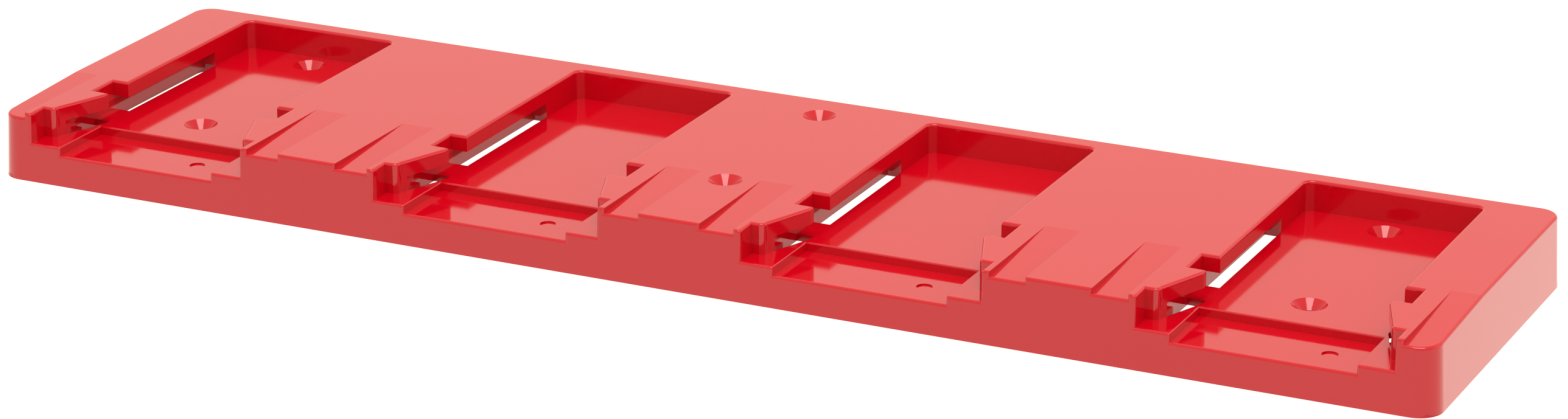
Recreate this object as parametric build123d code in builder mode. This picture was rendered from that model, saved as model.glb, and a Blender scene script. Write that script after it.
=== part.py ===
"""Four-bay wall rack for slide-on battery packs: one injection moulding, parted into its working regions.

The rack lies on its back. +Z points out of the wall that it is screwed to, +Y is the closed end of the bays
and -Y is the side that packs slide in from. The origin is at the centre of the underside.
"""

import os
from math import isclose, radians, tan

from build123d import *

# ---------------------------------------------------------------- overall body
bay_count = 4
land_width = 42.8            # top panel between the mouths of two neighbouring bays
end_land_width = 11.4        # top panel between an outer mouth and the end of the base
base_depth = 110.0
height = 20.0
draft_angle = 3.0            # the outer walls lean in towards the top
corner_radius = 7.0
outer_edge_radius = 0.8      # rim of the top, and the stepped outline of the front
skirt_wall = 1.2
panel_thickness = 2.2        # top panel
inner_wall = 2.2             # walls around each bay, below the top panel

# ---------------------------------------------------------------- one bay, across
neck_width = 50.2            # clear width between the two overhanging rails
rail_overhang = 5.0          # how far each rail stands over its undercut
lead_in_clearance = 0.7      # how far each lead-in face opens beyond the side of the undercut
mouth_step = 3.8             # how far each side of the mouth stands outside the lead-in face
recess_width = 50.0          # low step in the sill

# ---------------------------------------------------------------- one bay, along (from the front of the base)
mouth_depth = 7.9
lead_in_flat = 2.0           # straight stretch between the mouth and the slanted lead-in face
lead_in_length = 14.5
tab_flat = 2.1               # straight stretch between the lead-in face and the latch notch
notch_length = 10.2
rail_length = 46.6
slot_overrun = 5.0           # how far the slot below a rail runs on past the undercut
recess_depth = 21.6
rear_margin = 7.1            # closed end of the bay to the rear of the base

# ---------------------------------------------------------------- one bay, up
pocket_depth = 8.6           # top panel down to the floor
undercut_height = 4.1        # clear height below a rail
floor_thickness = 2.0
recess_drop = 2.4
recess_skin = 2.0

# ---------------------------------------------------------------- small features of a bay
pocket_corner_radius = 2.5
lead_in_corner_radius = 1.6
pin_mark_radius = 2.2
pin_mark_depth = 0.4
pin_mark_offset = 14.5       # to the right of the bay's centre line
pin_mark_setback = 10.5      # from the front of the base
opening_edge_radius = 0.8
recess_edge_radius = 0.4

# ---------------------------------------------------------------- sloping scoops beside each mouth
scoop_strip = 2.2            # full-height strip between the mouth and the scoop
scoop_width = 10.0
scoop_length = 38.0
scoop_drop = 1.5             # how deep the scoop is at the front edge

# ---------------------------------------------------------------- screw holes
screw_hole_radius = 2.25
countersink_radius = 4.8
countersink_angle = 90.0
boss_radius = 6.5
front_screw_setback = 35.5   # front row, from the front of the base
rear_screw_margin = 14.5     # rear row, from the rear of the base

# ---------------------------------------------------------------- worked out
neck = neck_width / 2
slide = neck + rail_overhang
lead_in_outer = slide + lead_in_clearance
mouth = lead_in_outer + mouth_step
recess = recess_width / 2

bay_pitch = 2 * mouth + land_width
bay_span = (bay_count - 1) * bay_pitch
base_length = bay_span + 2 * (mouth + end_land_width)
bay_centres = [bay_pitch * number - bay_span / 2 for number in range(bay_count)]
front = -base_depth / 2
rear = base_depth / 2
top_inset = height * tan(radians(draft_angle))
side_length = base_length - 2 * corner_radius

mouth_rear = front + mouth_depth
lead_in_front = mouth_rear + lead_in_flat
lead_in_rear = lead_in_front + lead_in_length
tab_slot_front = lead_in_rear - lead_in_length * rail_overhang / (rail_overhang + lead_in_clearance)
notch_front = lead_in_rear + tab_flat
notch_rear = notch_front + notch_length
slide_rear = notch_rear + rail_length
slot_rear = slide_rear + slot_overrun
pocket_rear = rear - rear_margin
recess_rear = front + recess_depth

floor_z = height - pocket_depth
floor_under = floor_z - floor_thickness
rail_under = floor_z + undercut_height
recess_z = floor_z - recess_drop
recess_under = recess_z - recess_skin
panel_under = height - panel_thickness

outer_neck = neck + inner_wall
outer_slide = slide + inner_wall
outer_mouth = mouth + scoop_strip
outer_recess = recess + inner_wall
scoop_inner = outer_mouth
scoop_outer = scoop_inner + scoop_width
scoop_rear = front + top_inset + scoop_length
scoop_fall = scoop_drop / scoop_length

screw_rows = [front + front_screw_setback, rear - rear_screw_margin]
screw_in_bay_x = [bay_centres[0], bay_centres[-1]]
past = 5.0                   # how far cutting shapes run past the faces that they cut
near = 0.01                  # how close two places have to be to count as the same


# ---------------------------------------------------------------- opening of one bay, seen from above
with BuildPart() as bay_opening:
    with BuildSketch(Plane.XY.offset(floor_z)) as opening:
        with BuildLine():
            Polyline(
                (0, pocket_rear),
                (neck, pocket_rear),
                (neck, notch_rear),
                (slide, notch_rear),
                (slide, notch_front),
                (neck, notch_front),
                (neck, lead_in_rear),
                (lead_in_outer, lead_in_front),
                (lead_in_outer, mouth_rear),
                (mouth, mouth_rear),
                (mouth, front - past),
                (0, front - past),
            )
            mirror(about=Plane.YZ)
        make_face()
        fillet(opening.vertices().group_by(Axis.Y)[-1], pocket_corner_radius)
        lead_in_corners = [
            vertex
            for vertex in opening.vertices()
            if isclose(abs(vertex.X), lead_in_outer, abs_tol=near)
            and isclose(vertex.Y, mouth_rear, abs_tol=near)
        ]
        fillet(lead_in_corners, lead_in_corner_radius)
    extrude(amount=pocket_depth + past)

# ---------------------------------------------------------------- low step in one sill, open to the front
with BuildPart() as bay_recess:
    with BuildSketch(Plane.XY.offset(recess_z)):
        with Locations((0, recess_rear)):
            Rectangle(recess_width, recess_depth + past, align=(Align.CENTER, Align.MAX))
    extrude(amount=recess_drop)

# ---------------------------------------------------------------- hollows of one bay below its rails
with BuildPart() as bay_lower_hollow:
    # undercut that runs below both rails and both lead-in tabs
    with BuildSketch(Plane.XY.offset(floor_z)):
        with Locations((0, mouth_rear)):
            Rectangle(2 * slide, slide_rear - mouth_rear, align=(Align.CENTER, Align.MIN))
    extrude(amount=undercut_height)

    # slots through the floor below the rails and the tabs
    with BuildSketch(Plane.XY.offset(floor_under)):
        with BuildLine():
            Polyline(
                (neck, notch_rear), (slide, notch_rear), (slide, slot_rear), (neck, slot_rear), close=True
            )
        make_face()
        with BuildLine():
            Polyline(
                (neck, notch_front),
                (slide, notch_front),
                (slide, tab_slot_front),
                (neck, lead_in_rear),
                close=True,
            )
        make_face()
        mirror(about=Plane.YZ)
    extrude(amount=floor_thickness)

    # round mark in the low step
    with BuildSketch(Plane.XY.offset(recess_z - pin_mark_depth)):
        with Locations((pin_mark_offset, front + pin_mark_setback)):
            Circle(pin_mark_radius)
    extrude(amount=pin_mark_depth)

# ---------------------------------------------------------------- walls and floor that wrap one bay
with BuildPart() as bay_wrap:
    with BuildSketch(Plane.XY.offset(floor_under)):
        with Locations((0, slide_rear + inner_wall)):
            Rectangle(2 * outer_slide, slide_rear + inner_wall - front, align=(Align.CENTER, Align.MAX))
        with Locations((0, pocket_rear + inner_wall)):
            Rectangle(2 * outer_neck, pocket_rear + inner_wall - front, align=(Align.CENTER, Align.MAX))
        with Locations((0, front)):
            Rectangle(2 * outer_mouth, mouth_depth + inner_wall, align=(Align.CENTER, Align.MIN))
    extrude(amount=height - floor_under)
    with BuildSketch(Plane.XY.offset(recess_under)):
        with Locations((0, front)):
            Rectangle(2 * outer_recess, recess_depth + inner_wall, align=(Align.CENTER, Align.MIN))
    extrude(amount=floor_z - recess_under)

# ---------------------------------------------------------------- scoops beside one bay
with BuildPart() as bay_scoops:
    with BuildSketch(Plane.YZ.offset(scoop_inner)):
        with BuildLine():
            Polyline(
                (scoop_rear, height),
                (front - past, height - scoop_drop - scoop_fall * (top_inset + past)),
                (front - past, height + past),
                (scoop_rear, height + past),
                close=True,
            )
        make_face()
    extrude(amount=scoop_width)
    mirror(about=Plane.YZ)

# ---------------------------------------------------------------- space inside the skirt, up to the top
with BuildPart() as inside_skirt:
    with BuildSketch():
        RectangleRounded(
            base_length - 2 * skirt_wall, base_depth - 2 * skirt_wall, corner_radius - skirt_wall
        )
    extrude(amount=height + past, taper=draft_angle)

# ---------------------------------------------------------------- screw bosses, below floor and panel
with BuildPart() as all_bosses:
    with BuildSketch():
        for row in screw_rows:
            with Locations(*[(x, row) for x in screw_in_bay_x]):
                Circle(boss_radius)
    extrude(amount=floor_under)
    with BuildSketch():
        with Locations(*[(0, row) for row in screw_rows]):
            Circle(boss_radius)
    extrude(amount=panel_under)

# ---------------------------------------------------------------- open space below the panel
with BuildPart() as underside:
    with BuildSketch():
        RectangleRounded(
            base_length - 2 * skirt_wall, base_depth - 2 * skirt_wall, corner_radius - skirt_wall
        )
    extrude(amount=panel_under, taper=draft_angle)
    with Locations(*[(x, 0, 0) for x in bay_centres]):
        add(bay_wrap.part, mode=Mode.SUBTRACT)
    with Locations(*[(x, 0, -panel_thickness) for x in bay_centres]):
        add(bay_scoops.part, mode=Mode.SUBTRACT)
    add(all_bosses.part, mode=Mode.SUBTRACT)

# ---------------------------------------------------------------- edges of the moulding that are rounded
def around_opening(edge):
    """Whether an edge of the top runs around the opening of a bay."""
    place = edge.center()
    in_top = isclose(place.Z, height, abs_tol=near)
    inside_rim = front + top_inset + near < place.Y < rear - top_inset - near
    return in_top and inside_rim and any(abs(place.X - x) < outer_mouth - near for x in bay_centres)


def around_recess(edge):
    """Whether an edge of a sill runs along the side or the rear of its low step."""
    place = edge.center()
    at_side = any(isclose(abs(place.X - x), recess, abs_tol=near) for x in bay_centres)
    at_rear = isclose(place.Y, recess_rear, abs_tol=near)
    return isclose(place.Z, floor_z, abs_tol=near) and (at_side or at_rear)


def on_outer_edge(edge):
    """Whether an edge is part of the stepped outline of the front, or of the rim of the top."""
    place = edge.center()
    in_front = isclose(place.Y, front + place.Z * top_inset / height, abs_tol=near)
    in_outline = in_front and place.Z > near and abs(place.X) < side_length / 2 - near
    at_rear_or_end = place.Y > rear - top_inset - near or abs(place.X) > side_length / 2
    return in_outline or (isclose(place.Z, height, abs_tol=near) and at_rear_or_end)


# ---------------------------------------------------------------- the whole moulding
with BuildPart() as rack:
    with BuildSketch():
        RectangleRounded(base_length, base_depth, corner_radius)
    extrude(amount=height, taper=draft_angle)
    for cutter in (bay_opening, bay_recess, bay_scoops):
        with Locations(*[(x, 0, 0) for x in bay_centres]):
            add(cutter.part, mode=Mode.SUBTRACT)
    fillet(rack.edges().filter_by(around_opening), opening_edge_radius)
    fillet(rack.edges().filter_by(around_recess), recess_edge_radius)
    fillet(rack.edges().filter_by(on_outer_edge), outer_edge_radius)
    add(underside.part, mode=Mode.SUBTRACT)
    with Locations(*[(x, 0, 0) for x in bay_centres]):
        add(bay_lower_hollow.part, mode=Mode.SUBTRACT)
    with Locations(*[(x, row, floor_z) for x in screw_in_bay_x for row in screw_rows]):
        CounterSinkHole(screw_hole_radius, countersink_radius, floor_z, countersink_angle)
    with Locations(*[(0, row, height) for row in screw_rows]):
        CounterSinkHole(screw_hole_radius, countersink_radius, height, countersink_angle)

# ---------------------------------------------------------------- where one bay is parted from the rest
with BuildPart() as bay_column:
    with BuildSketch():
        with Locations((0, front)):
            Rectangle(2 * outer_mouth, notch_front - front, align=(Align.CENTER, Align.MIN))
        with Locations((0, notch_front)):
            Rectangle(2 * outer_slide, rear - notch_front, align=(Align.CENTER, Align.MIN))
    extrude(amount=height)

with BuildPart() as sill_region:
    with BuildSketch(Plane.XY.offset(recess_under)):
        with Locations((0, front)):
            Rectangle(2 * outer_recess, recess_depth + inner_wall, align=(Align.CENTER, Align.MIN))
    extrude(amount=floor_under - recess_under)
    with BuildSketch(Plane.XY.offset(floor_under)):
        with Locations((0, front)):
            Rectangle(2 * outer_mouth, recess_depth, align=(Align.CENTER, Align.MIN))
    extrude(amount=floor_thickness)

with BuildPart() as floor_region:
    with BuildSketch(Plane.XY.offset(floor_under)):
        with Locations((0, recess_rear)):
            Rectangle(2 * outer_slide, rear - recess_rear, align=(Align.CENTER, Align.MIN))
    extrude(amount=floor_thickness)
    add(sill_region.part, mode=Mode.SUBTRACT)

with BuildPart() as right_lead_in_region:
    with BuildSketch(Plane.XY.offset(floor_z)):
        with Locations((0, front)):
            Rectangle(outer_mouth, notch_front - front, align=(Align.MIN, Align.MIN))
    extrude(amount=pocket_depth)

with BuildPart() as right_rail_region:
    with BuildSketch(Plane.XY.offset(floor_z)):
        with Locations((0, notch_front)):
            Rectangle(outer_slide, pocket_rear - notch_front, align=(Align.MIN, Align.MIN))
    extrude(amount=pocket_depth)

with BuildPart() as left_lead_in_region:
    add(right_lead_in_region.part.mirror(Plane.YZ))

with BuildPart() as left_rail_region:
    add(right_rail_region.part.mirror(Plane.YZ))

with BuildPart() as rear_wall_region:
    with BuildSketch(Plane.XY.offset(floor_z)):
        with Locations((0, pocket_rear)):
            Rectangle(2 * outer_slide, rear - pocket_rear, align=(Align.CENTER, Align.MIN))
    extrude(amount=pocket_depth)

bay_regions = {
    "sill": sill_region,
    "floor": floor_region,
    "left_lead_in": left_lead_in_region,
    "right_lead_in": right_lead_in_region,
    "left_rail": left_rail_region,
    "right_rail": right_rail_region,
    "rear_wall": rear_wall_region,
}

# ---------------------------------------------------------------- the moulding, parted flush into its regions
nodes = {}

with BuildPart() as screw_bosses:
    add(rack.part)
    add(all_bosses.part, mode=Mode.INTERSECT)
nodes["screw_bosses"] = screw_bosses.part

with BuildPart() as inner_body:
    add(rack.part)
    add(inside_skirt.part, mode=Mode.INTERSECT)
    add(all_bosses.part, mode=Mode.SUBTRACT)

with BuildPart() as lands:
    add(inner_body.part)
    with Locations(*[(x, 0, 0) for x in bay_centres]):
        add(bay_column.part, mode=Mode.SUBTRACT)
land_names = [f"land_{number}_{number + 1}" for number in range(1, bay_count)]
for name, land in zip(["left_end_land", *land_names, "right_end_land"], lands.solids().sort_by(Axis.X)):
    nodes[name] = land

for number, x in enumerate(bay_centres, start=1):
    for region_name, region in bay_regions.items():
        with BuildPart() as bay_region:
            add(inner_body.part)
            with Locations((x, 0, 0)):
                add(region.part, mode=Mode.INTERSECT)
        nodes[f"bay_{number}_{region_name}"] = bay_region.part

with BuildPart() as skirt:
    add(rack.part)
    add(inside_skirt.part, mode=Mode.SUBTRACT)

with BuildPart() as long_skirts:
    add(skirt.part)
    with BuildSketch():
        Rectangle(side_length, base_depth)
    extrude(amount=height, mode=Mode.INTERSECT)
for name, wall in zip(["front_skirt", "rear_skirt"], long_skirts.solids().sort_by(Axis.Y)):
    nodes[name] = wall

with BuildPart() as end_skirts:
    add(skirt.part)
    with BuildSketch():
        Rectangle(side_length, base_depth)
    extrude(amount=height, mode=Mode.SUBTRACT)
for name, wall in zip(["left_end_skirt", "right_end_skirt"], end_skirts.solids().sort_by(Axis.X)):
    nodes[name] = wall

os.makedirs("parts", exist_ok=True)
for name, shape in nodes.items():
    shape.label = name
    export_step(shape, f"parts/{name}.step")
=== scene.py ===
"""Looks of a four-bay wall rack for slide-on battery packs: red moulded plastic in a white studio."""

import logging
import math
from dataclasses import dataclass
from enum import Enum

import bpy
from mathutils import Matrix, Vector


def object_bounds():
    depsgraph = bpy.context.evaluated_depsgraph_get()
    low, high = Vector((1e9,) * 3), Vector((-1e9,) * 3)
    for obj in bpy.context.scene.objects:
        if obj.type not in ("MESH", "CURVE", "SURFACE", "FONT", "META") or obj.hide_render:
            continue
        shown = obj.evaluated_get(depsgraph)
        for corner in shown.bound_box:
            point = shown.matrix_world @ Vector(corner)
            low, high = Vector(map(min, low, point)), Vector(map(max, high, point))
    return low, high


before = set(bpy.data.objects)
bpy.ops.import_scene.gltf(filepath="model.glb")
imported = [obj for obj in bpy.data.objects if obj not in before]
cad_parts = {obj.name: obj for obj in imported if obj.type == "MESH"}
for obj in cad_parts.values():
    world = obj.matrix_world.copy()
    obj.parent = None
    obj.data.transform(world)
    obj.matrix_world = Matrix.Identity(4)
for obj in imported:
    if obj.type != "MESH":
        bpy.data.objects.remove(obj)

log = logging.getLogger("battery_rack")

MM = 0.001
CAD_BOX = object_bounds()
BAY_COUNT = 4
SENSOR_WIDTH_MM = 36.0
CLIP_NEAR, CLIP_FAR = 0.01, 50.0


class BayRegion(Enum):
    """The regions of one bay, by the end of their nodes' names."""

    SILL = "sill"
    FLOOR = "floor"
    LEFT_LEAD_IN = "left_lead_in"
    RIGHT_LEAD_IN = "right_lead_in"
    LEFT_RAIL = "left_rail"
    RIGHT_RAIL = "right_rail"
    REAR_WALL = "rear_wall"


def linear_from_hex(code: str) -> tuple[float, float, float, float]:
    """Turns an sRGB hex colour into the linear colour that shader sockets take.

    Args:
        code: Six hex digits, with or without a leading hash sign.

    Returns:
        Linear red, green and blue, with an alpha of 1.
    """
    digits = code.lstrip("#")
    channels = [int(digits[place:place + 2], 16) / 255 for place in (0, 2, 4)]
    red, green, blue = [
        channel / 12.92 if channel <= 0.04045 else ((channel + 0.055) / 1.055) ** 2.4
        for channel in channels
    ]
    return red, green, blue, 1.0


def add_node(
    tree: bpy.types.NodeTree,
    kind: str,
    settings: dict[str, object] | None = None,
    inputs: dict[str | int, object] | None = None,
) -> bpy.types.Node:
    """Adds one shader node, with its settings, its values and its links.

    Args:
        tree: The node tree that the node goes into.
        kind: Blender's name for the node's type.
        settings: Attributes of the node, by name.
        inputs: Values or output sockets for the node's inputs, by socket name or number.

    Returns:
        The new node.
    """
    node = tree.nodes.new(kind)
    for name, value in (settings or {}).items():
        setattr(node, name, value)
    for name, value in (inputs or {}).items():
        if isinstance(value, bpy.types.NodeSocket):
            tree.links.new(value, node.inputs[name])
        else:
            node.inputs[name].default_value = value
    return node


@dataclass(frozen=True)
class MouldedPolypropylene:
    """Red polypropylene, injection moulded in a polished tool: deep colour, and a clear mirror at low angles.

    Attributes:
        name: Name of the material.
        pigment: Colour of the dyed plastic.
        pigment_streak: Slightly lighter colour, where the melt flowed on.
        roughness: Mean roughness of the gloss skin.
        roughness_spread: How far the roughness strays either way.
        ior: Refractive index, 1.49 for polypropylene.
        grain: Width of one fleck of the fine grain that the tool leaves, in metres.
        grain_height: Height of that grain, in metres.
        flow: Width of a flow streak, in metres.
        flow_stretch: Scale of the streaks along the row, where less than 1 draws them out.
        sink: Width of the shallow waves that cooling leaves in a flat panel, in metres.
        sink_height: Height of those waves, in metres.
    """

    name: str = "polypropylene_red_gloss_moulded"
    pigment: str = "#BA0116"
    pigment_streak: str = "#BF0218"
    roughness: float = 0.08
    roughness_spread: float = 0.01
    ior: float = 1.49
    grain: float = 0.35 * MM
    grain_height: float = 0.002 * MM
    flow: float = 60 * MM
    flow_stretch: float = 0.35
    sink: float = 35 * MM
    sink_height: float = 0.01 * MM

    def build(self) -> bpy.types.Material:
        """Builds the material's nodes.

        Returns:
            The finished material.
        """
        material = bpy.data.materials.new(self.name)
        material.use_nodes = True
        tree = material.node_tree
        tree.nodes.clear()
        place = add_node(tree, "ShaderNodeTexCoord").outputs["Object"]

        # the melt spreads along the row of bays, so its faint streaks are stretched that way
        stretched = add_node(
            tree, "ShaderNodeMapping", inputs={"Vector": place, "Scale": (self.flow_stretch, 1.0, 1.0)}
        )
        streaks = add_node(
            tree,
            "ShaderNodeTexNoise",
            inputs={"Vector": stretched.outputs["Vector"], "Scale": 1 / self.flow, "Detail": 3.0},
        )
        colour = add_node(
            tree,
            "ShaderNodeMix",
            {"data_type": "RGBA"},
            {
                "Factor": streaks.outputs["Fac"],
                "A": linear_from_hex(self.pigment),
                "B": linear_from_hex(self.pigment_streak),
            },
        )
        roughness = add_node(
            tree,
            "ShaderNodeMapRange",
            inputs={
                "Value": streaks.outputs["Fac"],
                "To Min": self.roughness - self.roughness_spread,
                "To Max": self.roughness + self.roughness_spread,
            },
        )

        # waves first, grain on top of them: both are real heights on the surface
        waves = add_node(
            tree, "ShaderNodeTexNoise", inputs={"Vector": place, "Scale": 1 / self.sink, "Detail": 1.0}
        )
        wave_bump = add_node(
            tree,
            "ShaderNodeBump",
            inputs={"Height": waves.outputs["Fac"], "Distance": self.sink_height, "Strength": 1.0},
        )
        grains = add_node(
            tree, "ShaderNodeTexNoise", inputs={"Vector": place, "Scale": 1 / self.grain, "Detail": 2.0}
        )
        grain_bump = add_node(
            tree,
            "ShaderNodeBump",
            inputs={
                "Height": grains.outputs["Fac"],
                "Distance": self.grain_height,
                "Strength": 1.0,
                "Normal": wave_bump.outputs["Normal"],
            },
        )
        shader = add_node(
            tree,
            "ShaderNodeBsdfPrincipled",
            inputs={
                "Base Color": colour.outputs[2],
                "Roughness": roughness.outputs["Result"],
                "IOR": self.ior,
                "Normal": grain_bump.outputs["Normal"],
            },
        )
        add_node(tree, "ShaderNodeOutputMaterial", inputs={"Surface": shader.outputs["BSDF"]})
        return material


@dataclass(frozen=True)
class WhiteSweep:
    """Matt white paper sweep, lit from behind so that it reads as plain white.

    Its brightness isn't physical: the eye, the gloss and the rack's plain colour each get their own.

    Attributes:
        name: Name of the material.
        paper: Colour of the paper.
        glow: Radiance of the lit paper as the eye sees it.
        shine: Radiance that the rack's glossy skin mirrors.
        spill: Radiance with which it lights the rack from around it.
        shade: Share of the shine and the spill that is left below the rack, where the shell covers it.
    """

    name: str = "paper_white_matt_backlit"
    paper: str = "#FFFCEF"
    glow: float = 1.3
    shine: float = 1.8
    spill: float = 0.85
    shade: float = 0.6

    def build(self) -> bpy.types.Material:
        """Builds the material's nodes.

        Returns:
            The finished material.
        """
        material = bpy.data.materials.new(self.name)
        material.use_nodes = True
        tree = material.node_tree
        tree.nodes.clear()
        ray = add_node(tree, "ShaderNodeLightPath")
        mirrored = add_node(
            tree,
            "ShaderNodeMapRange",
            inputs={
                "Value": ray.outputs["Is Glossy Ray"],
                "To Min": self.spill,
                "To Max": self.shine,
            },
        )
        # painted shadow: below the rack the paper's emitted light drops to the shade share, in place of the
        # shell's cast shadow
        light_left = add_node(
            tree,
            "ShaderNodeMapRange",
            inputs={"Value": self.below_rack(tree), "To Min": 1.0, "To Max": self.shade},
        )
        thrown = add_node(
            tree,
            "ShaderNodeMath",
            {"operation": "MULTIPLY"},
            {0: mirrored.outputs["Result"], 1: light_left.outputs["Result"]},
        )
        strength = add_node(
            tree,
            "ShaderNodeMapRange",
            inputs={
                "Value": ray.outputs["Is Camera Ray"],
                "To Min": thrown.outputs["Value"],
                "To Max": self.glow,
            },
        )
        light = add_node(
            tree,
            "ShaderNodeEmission",
            inputs={"Color": linear_from_hex(self.paper), "Strength": strength.outputs["Result"]},
        )
        add_node(tree, "ShaderNodeOutputMaterial", inputs={"Surface": light.outputs["Emission"]})
        return material

    @staticmethod
    def below_rack(tree: bpy.types.NodeTree) -> bpy.types.NodeSocket:
        """Adds the nodes that find the paper below the rack.

        Args:
            tree: The material's node tree.

        Returns:
            A socket that is 1 below the rack and 0 elsewhere.
        """
        place = add_node(tree, "ShaderNodeTexCoord").outputs["Object"]
        away = add_node(tree, "ShaderNodeVectorMath", {"operation": "ABSOLUTE"}, {0: place})
        split = add_node(tree, "ShaderNodeSeparateXYZ", inputs={0: away.outputs["Vector"]})
        within = [
            add_node(tree, "ShaderNodeMath", {"operation": "LESS_THAN"}, {0: split.outputs[axis], 1: reach})
            for axis, reach in zip(("X", "Y"), CAD_BOX[1])
        ]
        both = add_node(
            tree,
            "ShaderNodeMath",
            {"operation": "MULTIPLY"},
            {0: within[0].outputs["Value"], 1: within[1].outputs["Value"]},
        )
        return both.outputs["Value"]


def dress(node: str, finish: bpy.types.Material) -> None:
    """Gives every material slot of a CAD node one finish.

    Args:
        node: Name of the CAD node.
        finish: The material that it gets.
    """
    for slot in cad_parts[node].material_slots:
        slot.material = finish


@dataclass
class Bay:
    """One T-shaped slide for a battery pack.

    Attributes:
        number: Which bay it is, counted from the left.
        regions: The regions that it has.
    """

    number: int
    regions: tuple[BayRegion, ...] = tuple(BayRegion)

    def build(self, finish: bpy.types.Material) -> None:
        """Dresses the bay's regions.

        Args:
            finish: The moulded plastic.
        """
        for region in self.regions:
            dress(f"bay_{self.number}_{region.value}", finish)
        log.info("bay %d: %d regions dressed", self.number, len(self.regions))


@dataclass
class Shell:
    """The outer walls, the top panel between the bays and the posts below the screw holes.

    Attributes:
        walls: Nodes of the outer walls.
        lands: Nodes of the top panel.
        posts: Nodes of the screw posts.
    """

    walls: tuple[str, ...] = ("front_skirt", "rear_skirt", "left_end_skirt", "right_end_skirt")
    lands: tuple[str, ...] = ("left_end_land", "land_1_2", "land_2_3", "land_3_4", "right_end_land")
    posts: tuple[str, ...] = ("screw_bosses",)

    def build(self, finish: bpy.types.Material) -> None:
        """Dresses the shell's regions.

        Args:
            finish: The moulded plastic.
        """
        for node in (*self.walls, *self.lands, *self.posts):
            dress(node, finish)
        log.info("shell: %d regions dressed", len(self.walls) + len(self.lands) + len(self.posts))


def direction(azimuth: float, elevation: float) -> Vector:
    """Finds the direction of something that stands round the rack.

    Args:
        azimuth: How far round it stands, in degrees, from the front towards the right.
        elevation: How far it stands above the horizon, in degrees.

    Returns:
        A unit vector that points from the rack to it.
    """
    turn, rise = math.radians(azimuth), math.radians(elevation)
    return Vector((math.sin(turn) * math.cos(rise), -math.cos(turn) * math.cos(rise), math.sin(rise)))


@dataclass(frozen=True)
class SoftPanel:
    """One large soft light that faces the rack.

    Attributes:
        name: Name of the light.
        azimuth: Where it stands round the rack, in degrees, from the front towards the right.
        elevation: How far it stands above the horizon, in degrees.
        distance: From the rack to the panel, in metres.
        size: Its width and height, in metres.
        radiance: How bright its face is.
        tint: Colour of its light.
    """

    name: str
    azimuth: float
    elevation: float
    distance: float
    size: tuple[float, float]
    radiance: float
    tint: str = "#FFFDFB"

    def build(self) -> None:
        """Places the light, facing the origin."""
        width, height = self.size
        data = bpy.data.lights.new(self.name, "AREA")
        data.shape = "RECTANGLE"
        data.size, data.size_y = width, height
        data.color = linear_from_hex(self.tint)[:3]
        # an area light of one watt per square metre has a radiance of one over pi
        data.energy = self.radiance * math.pi * width * height
        light = bpy.data.objects.new(self.name, data)
        away = direction(self.azimuth, self.elevation)
        light.matrix_world = (
            Matrix.Translation(away * self.distance) @ away.to_track_quat("Z", "Y").to_matrix().to_4x4()
        )
        bpy.context.scene.collection.objects.link(light)


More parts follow.
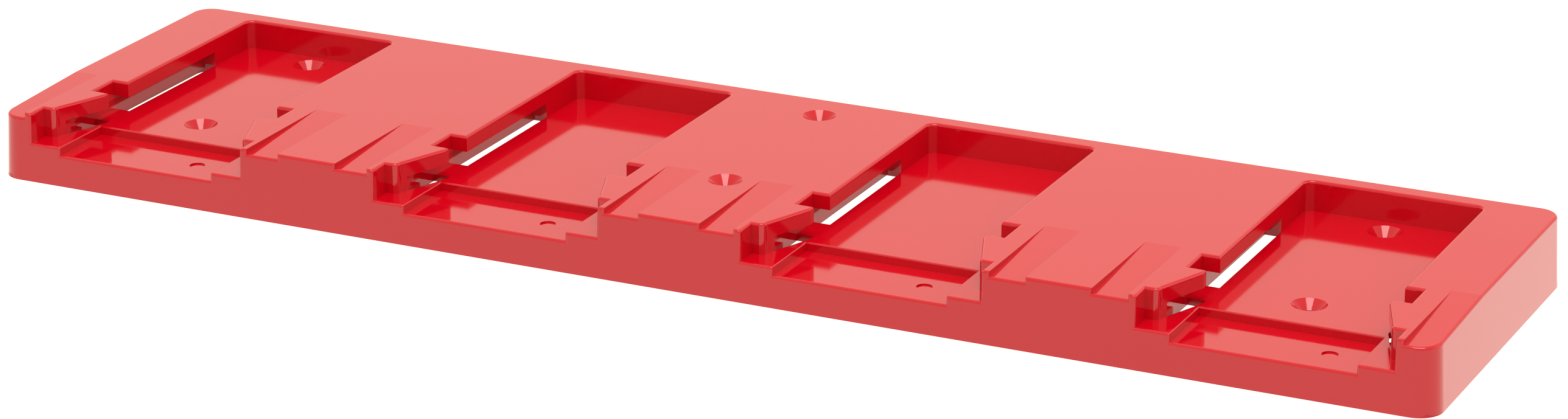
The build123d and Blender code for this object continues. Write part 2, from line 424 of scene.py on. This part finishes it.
@dataclass
class Studio:
    """White sweep, even white tent and a few large soft panels, with the camera.

    Attributes:
        floor_half: Half the width of the floor, in metres.
        tent: Radiance of the tent.
        tent_tint: Colour of the tent's light.
        panels: The soft panels.
        aim: Point that the camera looks at, in metres.
        distance: From that point to the camera, in metres.
        azimuth: How far the camera stands round to the right, in degrees.
        elevation: How far it stands above the horizon, in degrees.
        roll: How far it leans, in degrees.
        lens: Focal length on a 36 mm wide sensor, in millimetres.
    """

    floor_half: float = 6.0
    tent: float = 1.08
    tent_tint: str = "#FFFCEE"
    panels: tuple[SoftPanel, ...] = (
        SoftPanel("overhead_softbox", 26.0, 72.0, 2.2, (1.3, 1.0), 6.5),
        SoftPanel("right_wall_panel", 110.0, 22.0, 2.4, (1.8, 1.2), 0.8),
    )
    aim: tuple[float, float, float] = (12.8 * MM, -9.3 * MM, 10.0 * MM)
    distance: float = 1.2834
    azimuth: float = 25.69
    elevation: float = 19.95
    roll: float = -0.13
    lens: float = 107.8

    def build(self, paper: bpy.types.Material) -> None:
        """Builds the floor, the lights and the camera.

        Args:
            paper: The sweep's material.
        """
        self.build_floor(paper)
        self.build_tent()
        for panel in self.panels:
            panel.build()
        self.build_camera()
        settings = bpy.context.scene.view_settings
        settings.view_transform = "Standard"
        settings.look = "None"
        log.info("studio: floor, tent, %d soft panels and camera", len(self.panels))

    def build_floor(self, paper: bpy.types.Material) -> None:
        """Lays the floor just below the rack.

        Args:
            paper: The sweep's material.
        """
        mesh = bpy.data.meshes.new("studio_floor")
        half = self.floor_half
        corners = [(-half, -half, 0.0), (half, -half, 0.0), (half, half, 0.0), (-half, half, 0.0)]
        mesh.from_pydata(corners, [], [(0, 1, 2, 3)])
        mesh.materials.append(paper)
        floor = bpy.data.objects.new("studio_floor", mesh)
        bpy.context.scene.collection.objects.link(floor)

    def build_tent(self) -> None:
        """Sets the even light of the tent all round."""
        world = bpy.data.worlds.new("white_tent")
        world.use_nodes = True
        tree = world.node_tree
        tree.nodes.clear()
        light = add_node(
            tree,
            "ShaderNodeBackground",
            inputs={"Color": linear_from_hex(self.tent_tint), "Strength": self.tent},
        )
        add_node(tree, "ShaderNodeOutputWorld", inputs={"Surface": light.outputs["Background"]})
        bpy.context.scene.world = world

    def build_camera(self) -> None:
        """Places the camera."""
        data = bpy.data.cameras.new("studio_camera")
        data.sensor_width = SENSOR_WIDTH_MM
        data.sensor_fit = "HORIZONTAL"
        data.lens = self.lens
        data.clip_start, data.clip_end = CLIP_NEAR, CLIP_FAR
        camera = bpy.data.objects.new("studio_camera", data)
        back = direction(self.azimuth, self.elevation)
        lean = Matrix.Rotation(math.radians(self.roll), 4, "Z")
        camera.matrix_world = (
            Matrix.Translation(Vector(self.aim) + back * self.distance)
            @ back.to_track_quat("Z", "Y").to_matrix().to_4x4()
            @ lean
        )
        bpy.context.scene.collection.objects.link(camera)
        bpy.context.scene.camera = camera


def main() -> None:
    """Builds the looks, sub-assembly by sub-assembly."""
    logging.basicConfig(level=logging.INFO, format="%(name)s: %(message)s")
    plastic = MouldedPolypropylene().build()
    for number in range(1, BAY_COUNT + 1):
        Bay(number).build(plastic)
    Shell().build(plastic)
    Studio().build(WhiteSweep().build())


if __name__ == "__main__":
    main()
